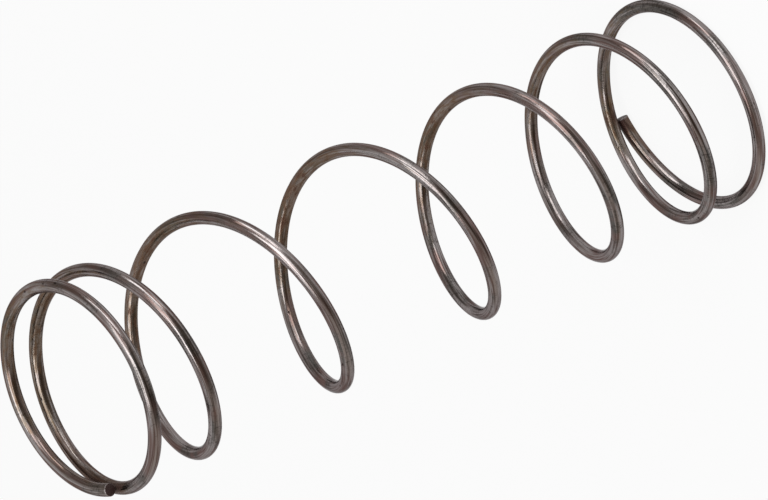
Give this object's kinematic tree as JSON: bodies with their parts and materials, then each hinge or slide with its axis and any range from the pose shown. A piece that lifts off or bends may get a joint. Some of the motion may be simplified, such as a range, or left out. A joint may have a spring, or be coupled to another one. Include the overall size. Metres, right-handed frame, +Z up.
{
  "type": "compression spring",
  "caption": "Open-coil compression spring of round dark steel wire, right-hand wound and unevenly pitched, with closed unground ends.",
  "frame": {"origin": "middle of the box round the spring, at ground level, where its foot turn stands", "axes": "+Z up. The spring stands on its unground foot turn, so its coil axis leans about 5 degrees from +Z, towards +X. The lower wire end lies on the +Y side and the upper one on the -X side."},
  "size_m": [0.0276, 0.0228, 0.0749],
  "materials": {
    "spring_steel": "drawn spring wire with a thin dark brown-grey oxide, streaked along its length"
  },
  "bodies": {
    "root": {"spring": "spring_steel"}
  },
  "joints": []
}
